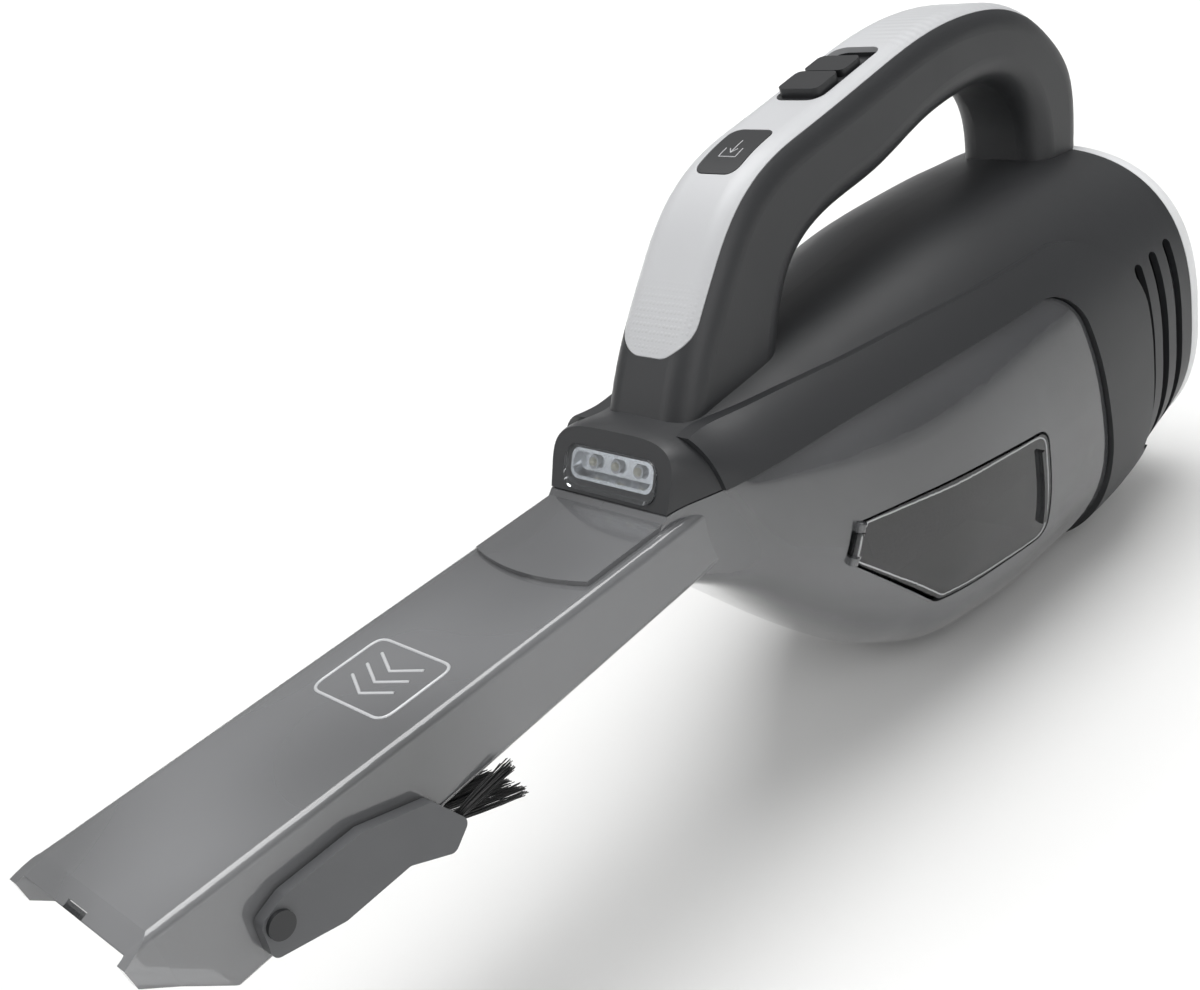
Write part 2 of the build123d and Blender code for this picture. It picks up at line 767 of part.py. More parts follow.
def make_brush_frame():
    s, z = brush_pivot
    inner = arm_start()
    hole = rod(brush_pin_radius, 90, (-45, y_of(s), z), (1, 0, 0))
    arms = side_prism(arm_face(), inner, inner + arm_thickness)
    arms = arms + side_prism(arm_face(), -inner - arm_thickness, -inner)
    bar = box_at(0, y_of(s + 45.5), z - 15.0, 2 * inner + 1, 7.0, 5.6)
    return biggest(arms + bar - [hole, *brush_tufts()])


def make_brush_bristles():
    return Compound(children=brush_tufts())


def make_brush_pins():
    s, z = brush_pivot
    pins = []
    for side in (-1, 1):
        inner = nozzle_half - bowl_wall - 1.0
        outer = arm_start() + arm_thickness
        pin = rod(brush_pin_radius, outer - inner, (side * inner, y_of(s), z), (side, 0, 0))
        head = rod(3.6, 1.2, (side * outer, y_of(s), z), (side, 0, 0))
        pins.append(pin + head)
    return Compound(children=[biggest(pin) for pin in pins])


# ---------------------------------------------------------------- filters
filter_back = seam_station - 2.6


def along_flow(radius_front, radius_back, start, end):
    front = Plane(origin=(0, y_of(start), flow_axis), z_dir=(0, 1, 0)) * Circle(radius_front)
    back = Plane(origin=(0, y_of(end), flow_axis), z_dir=(0, 1, 0)) * Circle(radius_back)
    return Solid.make_loft([front.wire(), back.wire()], True)


def flow_ring(outer, inner, start, end):
    return ring(outer, inner, end - start, (0, y_of(start), flow_axis))


def make_filter_frame():
    plate = flow_ring(filter_rear_radius + 4, filter_rear_radius - 6, filter_back - 3, filter_back)
    return plate


def make_pre_filter():
    start = filter_back - frame_thickness + 2 - filter_length
    end = filter_back - 3
    cup = along_flow(filter_front_radius, filter_rear_radius, start, end)
    room = along_flow(filter_front_radius - mesh_wall, filter_rear_radius - mesh_wall, start + mesh_wall, end + 1)
    return cup - room


def make_pleated_filter():
    start = filter_back - filter_length + 6
    length = filter_length - 9.5
    outer, inner = filter_front_radius - 3.4, filter_front_radius - 9.0
    points = []
    for step in range(2 * pleat_count):
        radius = outer if step % 2 == 0 else inner
        turn = pi * step / pleat_count
        points.append((radius * cos(turn), radius * sin(turn)))
    star = make_face(Polyline(*points, close=True))
    plane = Plane(origin=(0, y_of(start), flow_axis), x_dir=(1, 0, 0), z_dir=(0, 1, 0))
    return extrude(plane * (star - Circle(inner - 3.0)), amount=length)


def make_bowl_seal():
    back = seam_station + seam_gap / 2
    return flow_ring(filter_rear_radius + 3, filter_rear_radius - 3, back - 2.2, back)


# ---------------------------------------------------------------- fan and motor
shroud_start = seam_station + seam_gap / 2 + housing_wall + 0.2
shroud_depth = fan_depth + 4.0
mount_start = shroud_start + shroud_depth
mount_thickness = 3.0
can_start = mount_start + mount_thickness
bearing_radius = 4.0


def make_fan_shroud():
    cup = flow_ring(fan_radius + 3.2, intake_radius - 5, shroud_start, mount_start)
    return cup - flow_ring(fan_radius + 1.4, 0.1, shroud_start + 1.6, mount_start + 1) - rod(
        5, 40, (0, y_of(shroud_start) + 1.6, flow_axis))


def make_fan():
    start = shroud_start + 2.4
    end = start + fan_depth
    disc = flow_ring(fan_radius, shaft_radius, end - 1.4, end)
    hub = flow_ring(7.0, shaft_radius, start, end)
    plane = Plane(origin=(0, y_of(start), flow_axis), x_dir=(1, 0, 0), z_dir=(0, 1, 0))
    blades = Sketch()
    for index in range(blade_count):
        blades += Rot(0, 0, 360 / blade_count * index) * Pos((fan_radius + 6) / 2, 3) * Rot(0, 0, 14) * Rectangle(
            fan_radius - 8.5, 1.2)
    return biggest(disc + hub + extrude(plane * blades, amount=fan_depth))


def make_motor_mount():
    slab = box_at(0, y_of(mount_start) + mount_thickness / 2, 60, 200, mount_thickness, 200)
    plate = body_loft(-housing_wall - skin_gap) & slab
    plate = plate - flat_foot(housing_wall + skin_gap)
    plate = plate - rod(bearing_radius, 20, (0, y_of(mount_start) - 5, flow_axis))
    for turn in range(0, 360, 60):
        x, z = 45 * cos(radians(turn)), 45 * sin(radians(turn))
        plate = plate - rod(5.0, 20, (x, y_of(mount_start) - 5, flow_axis + z))
    for x in (-10, 10):
        plate = plate - rod(1.5, 20, (x, y_of(mount_start) - 5, flow_axis))
    plate = plate - rod(wire_radius + 0.6, 20, (-12, y_of(mount_start) - 5, cell_height))
    return biggest(plate)


def make_motor_screws():
    screws = []
    for x in (-10, 10):
        shank = rod(1.5, mount_thickness + 1.4, (x, y_of(mount_start), flow_axis))
        head = rod(2.6, 1.1, (x, y_of(mount_start) - 1.1, flow_axis))
        screws.append(biggest(shank + head))
    return Compound(children=screws)


def make_motor_can():
    can = flow_ring(motor_radius, bearing_radius + 2, can_start, can_start + motor_length)
    room = flow_ring(motor_radius - 1.4, 1, can_start + 1.4, can_start + motor_length + 1)
    screws = [rod(1.5, 1.4, (x, y_of(can_start), flow_axis)) for x in (-10, 10)]
    return can - room - screws


def make_motor_end():
    start = can_start + motor_length
    return flow_ring(motor_radius, bearing_radius, start, start + 3.0)


def make_bearings():
    front = flow_ring(bearing_radius, shaft_radius + pin_gap, mount_start, can_start)
    start = can_start + motor_length
    back = flow_ring(bearing_radius, shaft_radius + pin_gap, start, start + 3.0)
    return Compound(children=[biggest(front), biggest(back)])


def make_motor_shaft():
    start = shroud_start + 2.0
    return rod(shaft_radius, can_start + motor_length + 4 - start, (0, y_of(start), flow_axis))


def make_motor_rotor():
    start = can_start + 6
    rotor = flow_ring(motor_radius - 5, shaft_radius, start, start + motor_length - 12)
    slots = [Rot(0, turn, 0) * box_at(motor_radius - 5, 0, 0, 5, 200, 2.2) for turn in range(0, 360, 72)]
    return biggest(rotor - [Pos(0, 0, flow_axis) * slot for slot in slots])


# ---------------------------------------------------------------- battery and electrics
cell_pitch = 2 * cell_radius + cell_gap
cell_start = hood + cell_offset
holder_low = seam_height(cell_start - 2) + seam_gap / 2 + housing_wall + 0.4
cell_height = holder_low + 1.0 + cell_radius


def cell_places():
    return [(index - (cell_count - 1) / 2) * cell_pitch for index in range(cell_count)]


def make_battery_cells():
    cells = []
    for x in cell_places():
        can = rod(cell_radius, cell_length, (x, y_of(cell_start), cell_height))
        cells.append(biggest(can + rod(2.6, 0.8, (x, y_of(cell_start) - 0.8, cell_height))))
    return Compound(children=cells)


def make_cell_links():
    links = []
    for index, x in enumerate(cell_places()[:-1]):
        y = y_of(cell_start + cell_length) + 0.15 if index % 2 == 0 else y_of(cell_start) - 0.95
        links.append(box_at(x + cell_pitch / 2, y, cell_height, cell_pitch + 6, 0.3, 5))
    return Compound(children=[biggest(link) for link in links])


def make_battery_holder():
    width = cell_count * cell_pitch
    length = cell_length + 7
    y = y_of(cell_start + cell_length / 2)
    tray = box_at(0, y, holder_low + 3.5, width, length, 7.0)
    for x in cell_places():
        tray = tray - rod(cell_radius + 0.15, cell_length + 3, (x, y_of(cell_start) - 1.5, cell_height))
    tray = tray - box_at(0, y, holder_low + 9.2, width + 2, cell_length + 3, 8.0)
    return biggest(tray)


board_start = can_start + 2.0
board_height = 103.0


def make_control_board():
    length = 32.0
    y = y_of(board_start + length / 2)
    board = box_at(0, y, board_height, 36, length, 1.6)
    chip = box_at(-6, y - 4, board_height + 1.8, 9, 9, 2.0)
    coil = Pos(8, y + 6, board_height + 3.3) * Cylinder(4.5, 5.0)
    plug = box_at(-8, y + 11, board_height + 3.3, 10, 5, 5.0)
    return board + chip + coil + plug


def make_power_switch():
    return slider_block(9, slider_length / 2 - 8, 22, -16.0, -8.6, 1)


def make_charge_jack():
    mouth = jack_mouth_y()
    barrel = ring(jack_radius, jack_bore, jack_depth, (0, mouth - jack_depth, jack_height))
    back = rod(jack_radius, 2.0, (0, mouth - jack_depth - 2.0, jack_height))
    return barrel + back


def make_charge_lamp():
    mouth = jack_mouth_y()
    return rod(lamp_dot_radius, 6, (0, mouth - 6.4, lamp_dot_height))


wire_radius = 0.8


def wire(x, corners, radius=4.0):
    """A wire in the plane at x, through (station, height) corners."""
    path = FilletPolyline(*[(x, y_of(s), z) for s, z in corners], radius=radius)
    return biggest(sweep(Plane(origin=path @ 0, z_dir=path % 0) * Circle(wire_radius), path=path))


def make_wiring():
    rear = cell_start + cell_length + 6
    front = cell_start - 6
    wires = [
        wire(-12, [(rear, cell_height), (board_start + 2, cell_height),
                   (board_start + 2, board_height + 0.9)]),
        wire(4, [(hood + 24, 120.5), (hood + 34, 118.6), (front - 12, 118.6), (front - 1, cell_height)]),
        wire(3, [(hood + 144, 167), (hood + 172, 177), (hood + 203, 175.5), (hood + 220, 160),
                 (hood + 217, 130), (hood + 206, 108)]),
        wire(-14, [(board_start + 24, board_height - 1.2), (board_start + 24, 78),
                   (board_start + 30, flow_axis + 16)])]
    return Compound(children=wires)


# ---------------------------------------------------------------- tail
def cap_outline(inset):
    last = body_table()[-1]
    steps = [(0.3, 0.0), (0.35 * cap_depth, -0.6), (0.7 * cap_depth, -5.5), (cap_depth, -19.0)]
    return Solid.make_loft([section_wire(last, grow - inset, at - (inset if grow else 0))
                            for at, grow in steps])


def make_rear_cap():
    dome = cap_outline(0)
    room = cap_outline(housing_wall)
    fit = rebate_depth - housing_wall - skin_gap
    spigot = tail_plug(fit, skin_gap - rebate_length, 0.6) - tail_plug(-2 * housing_wall, -4.0, 2.0)
    cap = dome - room + spigot - tail_plug(-2 * housing_wall, -4.0, 0.8)
    for index in range(-4, 5):
        length = 74 - 2.2 * index * index
        cut = box_at(index * 8.5, y_of(rim_station) + cap_depth, tail_center_height, 2.6, 24, length)
        cap = cap - cut
    return biggest(cap)


def make_exhaust_filter():
    return tail_plug(-housing_wall - 4.0, 1.5, 5.5)


# ---------------------------------------------------------------- write every piece
def make_all():
    left, right = make_housing()
    return {
        "housing_left": left,
        "housing_right": right,
        "handle_insert": make_handle_insert(),
        "power_slider": make_power_slider(),
        "release_button": make_release_button(),
        "button_spring": make_button_spring(),
        "latch_lever": make_latch_lever(),
        "latch_pin": make_latch_pin(),
        "lamp_lens": make_lamp_lens(),
        "lamp_reflector": make_lamp_reflector(),
        "lamp_board": make_lamp_board(),
        "dust_bowl": make_dust_bowl(),
        "dust_door": make_dust_door(),
        "door_pin": make_door_pin(),
        "crevice_tool": make_crevice_tool(),
        "brush_frame": make_brush_frame(),
        "brush_pins": make_brush_pins(),
        "brush_bristles": make_brush_bristles(),
        "filter_frame": make_filter_frame(),
        "pre_filter": make_pre_filter(),
        "pleated_filter": make_pleated_filter(),
        "bowl_seal": make_bowl_seal(),
        "fan_shroud": make_fan_shroud(),
        "fan": make_fan(),
        "motor_mount": make_motor_mount(),
        "motor_screws": make_motor_screws(),
        "motor_can": make_motor_can(),
        "motor_end": make_motor_end(),
        "motor_bearings": make_bearings(),
        "motor_shaft": make_motor_shaft(),
        "motor_rotor": make_motor_rotor(),
        "battery_cells": make_battery_cells(),
        "cell_links": make_cell_links(),
        "battery_holder": make_battery_holder(),
        "control_board": make_control_board(),
        "power_switch": make_power_switch(),
        "charge_jack": make_charge_jack(),
        "charge_lamp": make_charge_lamp(),
        "wiring": make_wiring(),
        "housing_screws": make_housing_screws(),
        "rear_cap": make_rear_cap(),
        "exhaust_filter": make_exhaust_filter(),
    }


os.makedirs("parts", exist_ok=True)
for name, shape in make_all().items():
    export_step(shape, f"parts/{name}.step")
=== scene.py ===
import bpy
import bmesh
import math
import random
from mathutils import Matrix, Vector
from mathutils.bvhtree import BVHTree


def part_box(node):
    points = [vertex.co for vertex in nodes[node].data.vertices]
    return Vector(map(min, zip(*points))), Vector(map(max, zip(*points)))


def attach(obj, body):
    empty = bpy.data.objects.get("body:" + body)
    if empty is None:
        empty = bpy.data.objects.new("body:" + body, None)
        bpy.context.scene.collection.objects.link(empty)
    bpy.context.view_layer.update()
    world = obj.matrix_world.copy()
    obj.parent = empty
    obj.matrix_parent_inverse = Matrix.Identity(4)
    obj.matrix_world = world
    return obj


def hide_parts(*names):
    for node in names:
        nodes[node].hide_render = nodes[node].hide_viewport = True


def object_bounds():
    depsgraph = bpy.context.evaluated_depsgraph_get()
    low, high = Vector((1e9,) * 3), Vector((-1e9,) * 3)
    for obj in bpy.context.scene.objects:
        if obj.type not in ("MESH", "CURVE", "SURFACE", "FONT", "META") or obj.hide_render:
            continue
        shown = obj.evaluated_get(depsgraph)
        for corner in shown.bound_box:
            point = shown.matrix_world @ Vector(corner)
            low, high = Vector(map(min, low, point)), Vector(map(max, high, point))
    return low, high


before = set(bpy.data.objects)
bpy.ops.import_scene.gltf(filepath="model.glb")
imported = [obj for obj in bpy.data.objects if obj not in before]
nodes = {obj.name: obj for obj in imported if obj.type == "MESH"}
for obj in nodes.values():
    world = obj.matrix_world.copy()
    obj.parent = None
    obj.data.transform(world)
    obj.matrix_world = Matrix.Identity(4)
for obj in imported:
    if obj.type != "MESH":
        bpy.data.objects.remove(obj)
cadLow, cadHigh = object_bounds()
print("frame loaded:", len(nodes), "nodes")

mm = 0.001


def toLinear(hexColour):
    # sRGB hex to the linear colour that shaders take
    parts = [int(hexColour[i:i + 2], 16) / 255 for i in (1, 3, 5)]
    return tuple(p / 12.92 if p <= 0.04045 else ((p + 0.055) / 1.055) ** 2.4 for p in parts) + (1.0,)


def addNode(tree, kind, settings=None, links=None):
    # one shader node, its settings (sockets by name or number, else properties) and its incoming links
    node = tree.nodes.new(kind)
    for key, value in (settings or {}).items():
        if isinstance(key, int) or key in node.inputs:
            node.inputs[key].default_value = value
        else:
            setattr(node, key, value)
    for key, (source, output) in (links or {}).items():
        tree.links.new(source.outputs[output], node.inputs[key])
    return node


def startMaterial(name, shader):
    material = bpy.data.materials.new(name)
    material.use_nodes = True
    tree = material.node_tree
    tree.nodes.clear()
    surface = addNode(tree, "ShaderNodeBsdfPrincipled", shader)
    addNode(tree, "ShaderNodeOutputMaterial", None, {"Surface": (surface, "BSDF")})
    place = addNode(tree, "ShaderNodeTexCoord")
    return material, tree, surface, place


def perMm(size):
    # texture scale that repeats about every size mm
    return 1000 / size


def addMottle(tree, surface, place, look):
    # slow drift of colour and gloss, as any moulded or coated face has
    cloud = addNode(tree, "ShaderNodeTexNoise", {"Scale": perMm(look["mottleMm"]), "Detail": 3.0},
                    {"Vector": (place, "Object")})
    blend = addNode(tree, "ShaderNodeMix", {"data_type": "RGBA", 6: toLinear(look["colour"]),
                                            7: toLinear(look["shade"])}, {0: (cloud, "Fac")})
    gloss = addNode(tree, "ShaderNodeMapRange", {"To Min": look["roughness"] - 0.05,
                                                 "To Max": look["roughness"] + 0.05}, {"Value": (cloud, "Fac")})
    tree.links.new(blend.outputs[2], surface.inputs["Base Color"])
    tree.links.new(gloss.outputs["Result"], surface.inputs["Roughness"])


def addGrain(tree, surface, place, look):
    # fine surface texture as bump
    grain = addNode(tree, "ShaderNodeTexNoise", {"Scale": perMm(look["grainMm"]), "Detail": 2.0},
                    {"Vector": (place, "Object")})
    bump = addNode(tree, "ShaderNodeBump", {"Strength": look["grainStrength"], "Distance": 0.05 * mm},
                   {"Height": (grain, "Fac")})
    tree.links.new(bump.outputs["Normal"], surface.inputs["Normal"])


def mouldedPlastic(name, look):
    # injection moulded from a spark-eroded tool: fine grain, so highlights are broad and soft
    material, tree, surface, place = startMaterial(name, {"IOR": look["ior"]})
    addMottle(tree, surface, place, look)
    addGrain(tree, surface, place, look)
    return material


# ABS moulded against a spark-eroded tool; the eye sees an even charcoal with a soft sheen.
# The real grain is near 0.2 mm and is drawn at 0.7 mm so that it shows.
charcoalAbs = mouldedPlastic("charcoalAbsSparkEroded", {
    "colour": "#2c2d2f", "shade": "#262729", "roughness": 0.46, "ior": 1.54,
    "mottleMm": 45, "grainMm": 0.7, "grainStrength": 0.35})

# Controls are ABS with a finer tool finish; slightly darker and smoother than the housing.
controlAbs = mouldedPlastic("controlAbsSatin", {
    "colour": "#242527", "shade": "#1e1f21", "roughness": 0.40, "ior": 1.54,
    "mottleMm": 20, "grainMm": 0.5, "grainStrength": 0.25})

# Polypropylene for the brush frame and inner carriers; waxy mid grey.
greyPolypropylene = mouldedPlastic("greyPolypropyleneMoulded", {
    "colour": "#5f6062", "shade": "#565759", "roughness": 0.50, "ior": 1.49,
    "mottleMm": 30, "grainMm": 0.6, "grainStrength": 0.25})

# White ABS of the rear cap, satin from the tool.
whiteAbs = mouldedPlastic("whiteAbsSatin", {
    "colour": "#e3e4e5", "shade": "#dadbdc", "roughness": 0.42, "ior": 1.54,
    "mottleMm": 30, "grainMm": 0.6, "grainStrength": 0.2})

# Nylon filament, drawn and cut; black with a thin streak of gloss.
blackNylon = mouldedPlastic("blackNylonDrawn", {
    "colour": "#131314", "shade": "#0c0c0d", "roughness": 0.38, "ior": 1.53,
    "mottleMm": 3, "grainMm": 0.4, "grainStrength": 0.2})

# Moulded rubber seal, dull and almost black.
mouldedRubber = mouldedPlastic("nitrileRubberMoulded", {
    "colour": "#1b1b1c", "shade": "#151516", "roughness": 0.75, "ior": 1.52,
    "mottleMm": 15, "grainMm": 0.5, "grainStrength": 0.5})

# PVC shrink sleeve over the cells: smooth and tight.
shrinkSleeve = mouldedPlastic("pvcShrinkSleeve", {
    "colour": "#2c6a9c", "shade": "#255d8b", "roughness": 0.30, "ior": 1.54,
    "mottleMm": 25, "grainMm": 2.0, "grainStrength": 0.2})

# Glass-epoxy board under green solder lacquer; the weave shows faintly through.
glassEpoxyBoard = mouldedPlastic("glassEpoxyLacquered", {
    "colour": "#1e6b3a", "shade": "#185a30", "roughness": 0.32, "ior": 1.55,
    "mottleMm": 6, "grainMm": 0.8, "grainStrength": 0.5})

# Lamp board under white solder lacquer, as boards that carry white diodes have.
whiteLacquerBoard = mouldedPlastic("glassEpoxyWhiteLacquer", {
    "colour": "#f0f1f1", "shade": "#e6e7e8", "roughness": 0.25, "ior": 1.55,
    "mottleMm": 6, "grainMm": 0.8, "grainStrength": 0.3})

# Enamelled copper winding and insulated leads.
copperWinding = mouldedPlastic("enamelledCopper", {
    "colour": "#a5603a", "shade": "#8a4d2d", "roughness": 0.35, "ior": 1.5,
    "mottleMm": 3, "grainMm": 0.6, "grainStrength": 0.6})

# Open-cell foam pad behind the cap: soft and pitted.
openCellFoam = mouldedPlastic("polyetherFoamOpenCell", {
    "colour": "#2a2a2c", "shade": "#161617", "roughness": 0.85, "ior": 1.45,
    "mottleMm": 2.5, "grainMm": 1.2, "grainStrength": 1.0})

# Phosphor dome of a white diode.
diodePhosphor = mouldedPlastic("diodePhosphor", {
    "colour": "#f4f1e2", "shade": "#ece6cc", "roughness": 0.30, "ior": 1.5,
    "mottleMm": 1.5, "grainMm": 0.5, "grainStrength": 0.1})

# Printed light grey ink of the pictogram.
padPrintedInk = mouldedPlastic("padPrintedInk", {
    "colour": "#b9babc", "shade": "#adaeb0", "roughness": 0.45, "ior": 1.5,
    "mottleMm": 4, "grainMm": 0.5, "grainStrength": 0.2})
print("plain plastics ready")


insertLook = {"colour": "#c2c3c5", "shade": "#bbbcbe", "roughness": 0.40, "ior": 1.54, "mottleMm": 40,
              "dotMm": 1.5,        # real texture is near 0.8 mm, drawn coarser so that it shows
              "dotCore": 0.20, "dotRim": 0.45,   # a dot falls off between these shares of a cell
              "dotFadeMm": 10.0, "ribMm": 3.2, "ribStartMm": 6.0, "ribFadeMm": 8.0,
              "postTopMm": 22.0,   # the dots begin this far under the top of the button
              "reliefMm": 0.15, "reliefStrength": 0.5}


def insertPlastic():
    # light ABS with a dotted post and fine cross ribs over the arch
    look = insertLook
    material, tree, surface, place = startMaterial("lightAbsDotted", {"IOR": look["ior"]})
    addMottle(tree, surface, place, look)
    axes = addNode(tree, "ShaderNodeSeparateXYZ", None, {"Vector": (place, "Object")})
    cells = addNode(tree, "ShaderNodeTexVoronoi", {"Scale": perMm(look["dotMm"]), "Randomness": 0.15},
                    {"Vector": (place, "Object")})
    dots = addNode(tree, "ShaderNodeMapRange", {"From Min": look["dotCore"], "From Max": look["dotRim"],
                                                "To Min": 1.0, "To Max": 0.0}, {"Value": (cells, "Distance")})
    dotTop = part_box("release_button")[1].z - look["postTopMm"] * mm
    onPost = addNode(tree, "ShaderNodeMapRange",
                     {"From Min": dotTop, "From Max": dotTop - look["dotFadeMm"] * mm, "To Min": 0.0,
                      "To Max": 1.0}, {"Value": (axes, "Z")})
    dotHeight = addNode(tree, "ShaderNodeMath", {"operation": "MULTIPLY"},
                        {0: (dots, "Result"), 1: (onPost, "Result")})
    ribs = addNode(tree, "ShaderNodeTexWave", {"Scale": perMm(look["ribMm"]) * math.pi / 10,
                                               "bands_direction": "Y", "wave_profile": "SIN"},
                   {"Vector": (place, "Object")})
    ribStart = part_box("power_slider")[1].y + look["ribStartMm"] * mm
    onArch = addNode(tree, "ShaderNodeMapRange",
                     {"From Min": ribStart, "From Max": ribStart + look["ribFadeMm"] * mm},
                     {"Value": (axes, "Y")})
    ribHeight = addNode(tree, "ShaderNodeMath", {"operation": "MULTIPLY"},
                        {0: (ribs, "Fac"), 1: (onArch, "Result")})
    both = addNode(tree, "ShaderNodeMath", {"operation": "ADD"},
                   {0: (dotHeight, "Value"), 1: (ribHeight, "Value")})
    bump = addNode(tree, "ShaderNodeBump", {"Strength": look["reliefStrength"],
                                            "Distance": look["reliefMm"] * mm}, {"Height": (both, "Value")})
    tree.links.new(bump.outputs["Normal"], surface.inputs["Normal"])
    return material


lightAbs = insertPlastic()


clearLook = {"coatRoughness": 0.03, "hazeFrom": 0.35, "hazeTo": 0.65, "thin": 0.72, "thick": 1.12,
             "flowStrength": 0.15, "flowDepthMm": 0.1}


def clearPlastic(name, look):
    # polished tool, so reflections are sharp; the colour is darkened from the mouth to the tail as painted shade
    material, tree, surface, place = startMaterial(name, {
        "IOR": look["ior"], "Transmission Weight": look["clarity"], "Roughness": look["roughness"],
        "Coat Weight": look["coat"], "Coat Roughness": clearLook["coatRoughness"]})
    axes = addNode(tree, "ShaderNodeSeparateXYZ", None, {"Vector": (place, "Object")})
    # painted shade: the colour blends from the front colour to the darker tail colour towards Y=0
    along = addNode(tree, "ShaderNodeMapRange", {"From Min": cadLow.y, "From Max": 0.0}, {"Value": (axes, "Y")})
    smokeAndPaintedShade = addNode(tree, "ShaderNodeMix", {"data_type": "RGBA", 6: toLinear(look["colour"]),
                                           7: toLinear(look["paintedTailShade"])}, {0: (along, "Result")})
    flow = addNode(tree, "ShaderNodeTexNoise", {"Scale": perMm(look["flowMm"]), "Detail": 1.0},
                   {"Vector": (place, "Object")})
    haze = addNode(tree, "ShaderNodeTexNoise", {"Scale": perMm(look["hazeMm"]), "Detail": 0.0},
                   {"Vector": (place, "Object")})
    spread = addNode(tree, "ShaderNodeMapRange",
                     {"From Min": clearLook["hazeFrom"], "From Max": clearLook["hazeTo"],
                      "To Min": clearLook["thin"], "To Max": clearLook["thick"]}, {"Value": (haze, "Fac")})
    fogged = addNode(tree, "ShaderNodeVectorMath", {"operation": "SCALE"},
                     {0: (smokeAndPaintedShade, 2), "Scale": (spread, "Result")})
    bump = addNode(tree, "ShaderNodeBump", {"Strength": clearLook["flowStrength"],
                                            "Distance": clearLook["flowDepthMm"] * mm}, {"Height": (flow, "Fac")})
    tree.links.new(fogged.outputs["Vector"], surface.inputs["Base Color"])
    tree.links.new(bump.outputs["Normal"], surface.inputs["Normal"])
    return material


# Smoked polycarbonate, moulded and polished: grey body with crisp reflections, half see-through.
smokedPolycarbonate = clearPlastic("smokedPolycarbonate", {
    "colour": "#a2a3a5", "paintedTailShade": "#6b6c6f", "roughness": 0.12, "clarity": 0.50, "ior": 1.58, "coat": 0.7,
    "flowMm": 12, "hazeMm": 60})

# Raised lines of the badge and the door bead: the same plastic, drawn lighter and less clear as a painted
# highlight.
raisedLinePaintedHighlight = clearPlastic("smokedPolycarbonateRaisedPaintedHighlight", {
    "colour": "#c9cacc", "paintedTailShade": "#b4b5b7", "roughness": 0.12, "clarity": 0.1, "ior": 1.58, "coat": 0.6,
    "flowMm": 12, "hazeMm": 400})

# The door is a thinner wall of the same plastic, so more shows through it.
smokedWindow = clearPlastic("smokedPolycarbonateWindow", {
    "colour": "#6e6f72", "paintedTailShade": "#626366", "roughness": 0.03, "clarity": 0.97, "ior": 1.58, "coat": 0.2,
    "flowMm": 12, "hazeMm": 70})

# Clear polycarbonate lens.
clearLens = clearPlastic("clearPolycarbonateLens", {
    "colour": "#f5f7fa", "paintedTailShade": "#f0f3f6", "roughness": 0.02, "clarity": 0.96, "ior": 1.58, "coat": 0.0,
    "flowMm": 6, "hazeMm": 400})


def metal(name, look):
    # bare or plated metal; streaks of roughness follow the way it was worked
    material, tree, surface, place = startMaterial(name, {"Metallic": 1.0})
    stretch = addNode(tree, "ShaderNodeMapping", {"Scale": look["stretch"]}, {"Vector": (place, "Object")})
    streaks = addNode(tree, "ShaderNodeTexNoise", {"Scale": perMm(look["streakMm"]), "Detail": 3.0},
                      {"Vector": (stretch, "Vector")})
    gloss = addNode(tree, "ShaderNodeMapRange", {"To Min": look["roughness"] * 0.7,
                                                 "To Max": look["roughness"] * 1.3}, {"Value": (streaks, "Fac")})
    blend = addNode(tree, "ShaderNodeMix", {"data_type": "RGBA", 6: toLinear(look["colour"]),
                                            7: toLinear(look["shade"])}, {0: (streaks, "Fac")})
    tree.links.new(gloss.outputs["Result"], surface.inputs["Roughness"])
    tree.links.new(blend.outputs[2], surface.inputs["Base Color"])
    return material


# Aluminium vacuum-coated on the reflector: a bright mirror.
coatedReflector = metal("aluminiumVacuumCoated", {
    "colour": "#f4f5f6", "shade": "#eceef0", "roughness": 0.22, "streakMm": 2.0, "stretch": (1, 1, 1)})
# Turned and zinc-plated steel: grey with fine rings.
platedSteel = metal("zincPlatedSteelTurned", {
    "colour": "#b9bbbd", "shade": "#a3a5a8", "roughness": 0.28, "streakMm": 1.0, "stretch": (1, 6, 1)})
# Rolled nickel strip, softer sheen than the steel.
nickelStrip = metal("nickelStripRolled", {
    "colour": "#c3bfb8", "shade": "#b0aca4", "roughness": 0.33, "streakMm": 1.2, "stretch": (1, 8, 1)})

paperLook = {"colour": "#dedacf", "shade": "#cfcabd", "roughness": 0.9, "ior": 1.45, "mottleMm": 8,
             "grainMm": 0.6, "grainStrength": 0.8}
# Pleated filter paper, matt and fibrous.
filterPaper = mouldedPlastic("filterPaperPleated", paperLook)

# Woven nylon mesh over the cup: black, the thread spacing is drawn by the net piece.
nylonMesh = mouldedPlastic("nylonMeshBacking", {
    "colour": "#39393b", "shade": "#2a2a2c", "roughness": 0.6, "ior": 1.53,
    "mottleMm": 2.2, "grainMm": 1.1, "grainStrength": 1.0})
print("all materials ready")

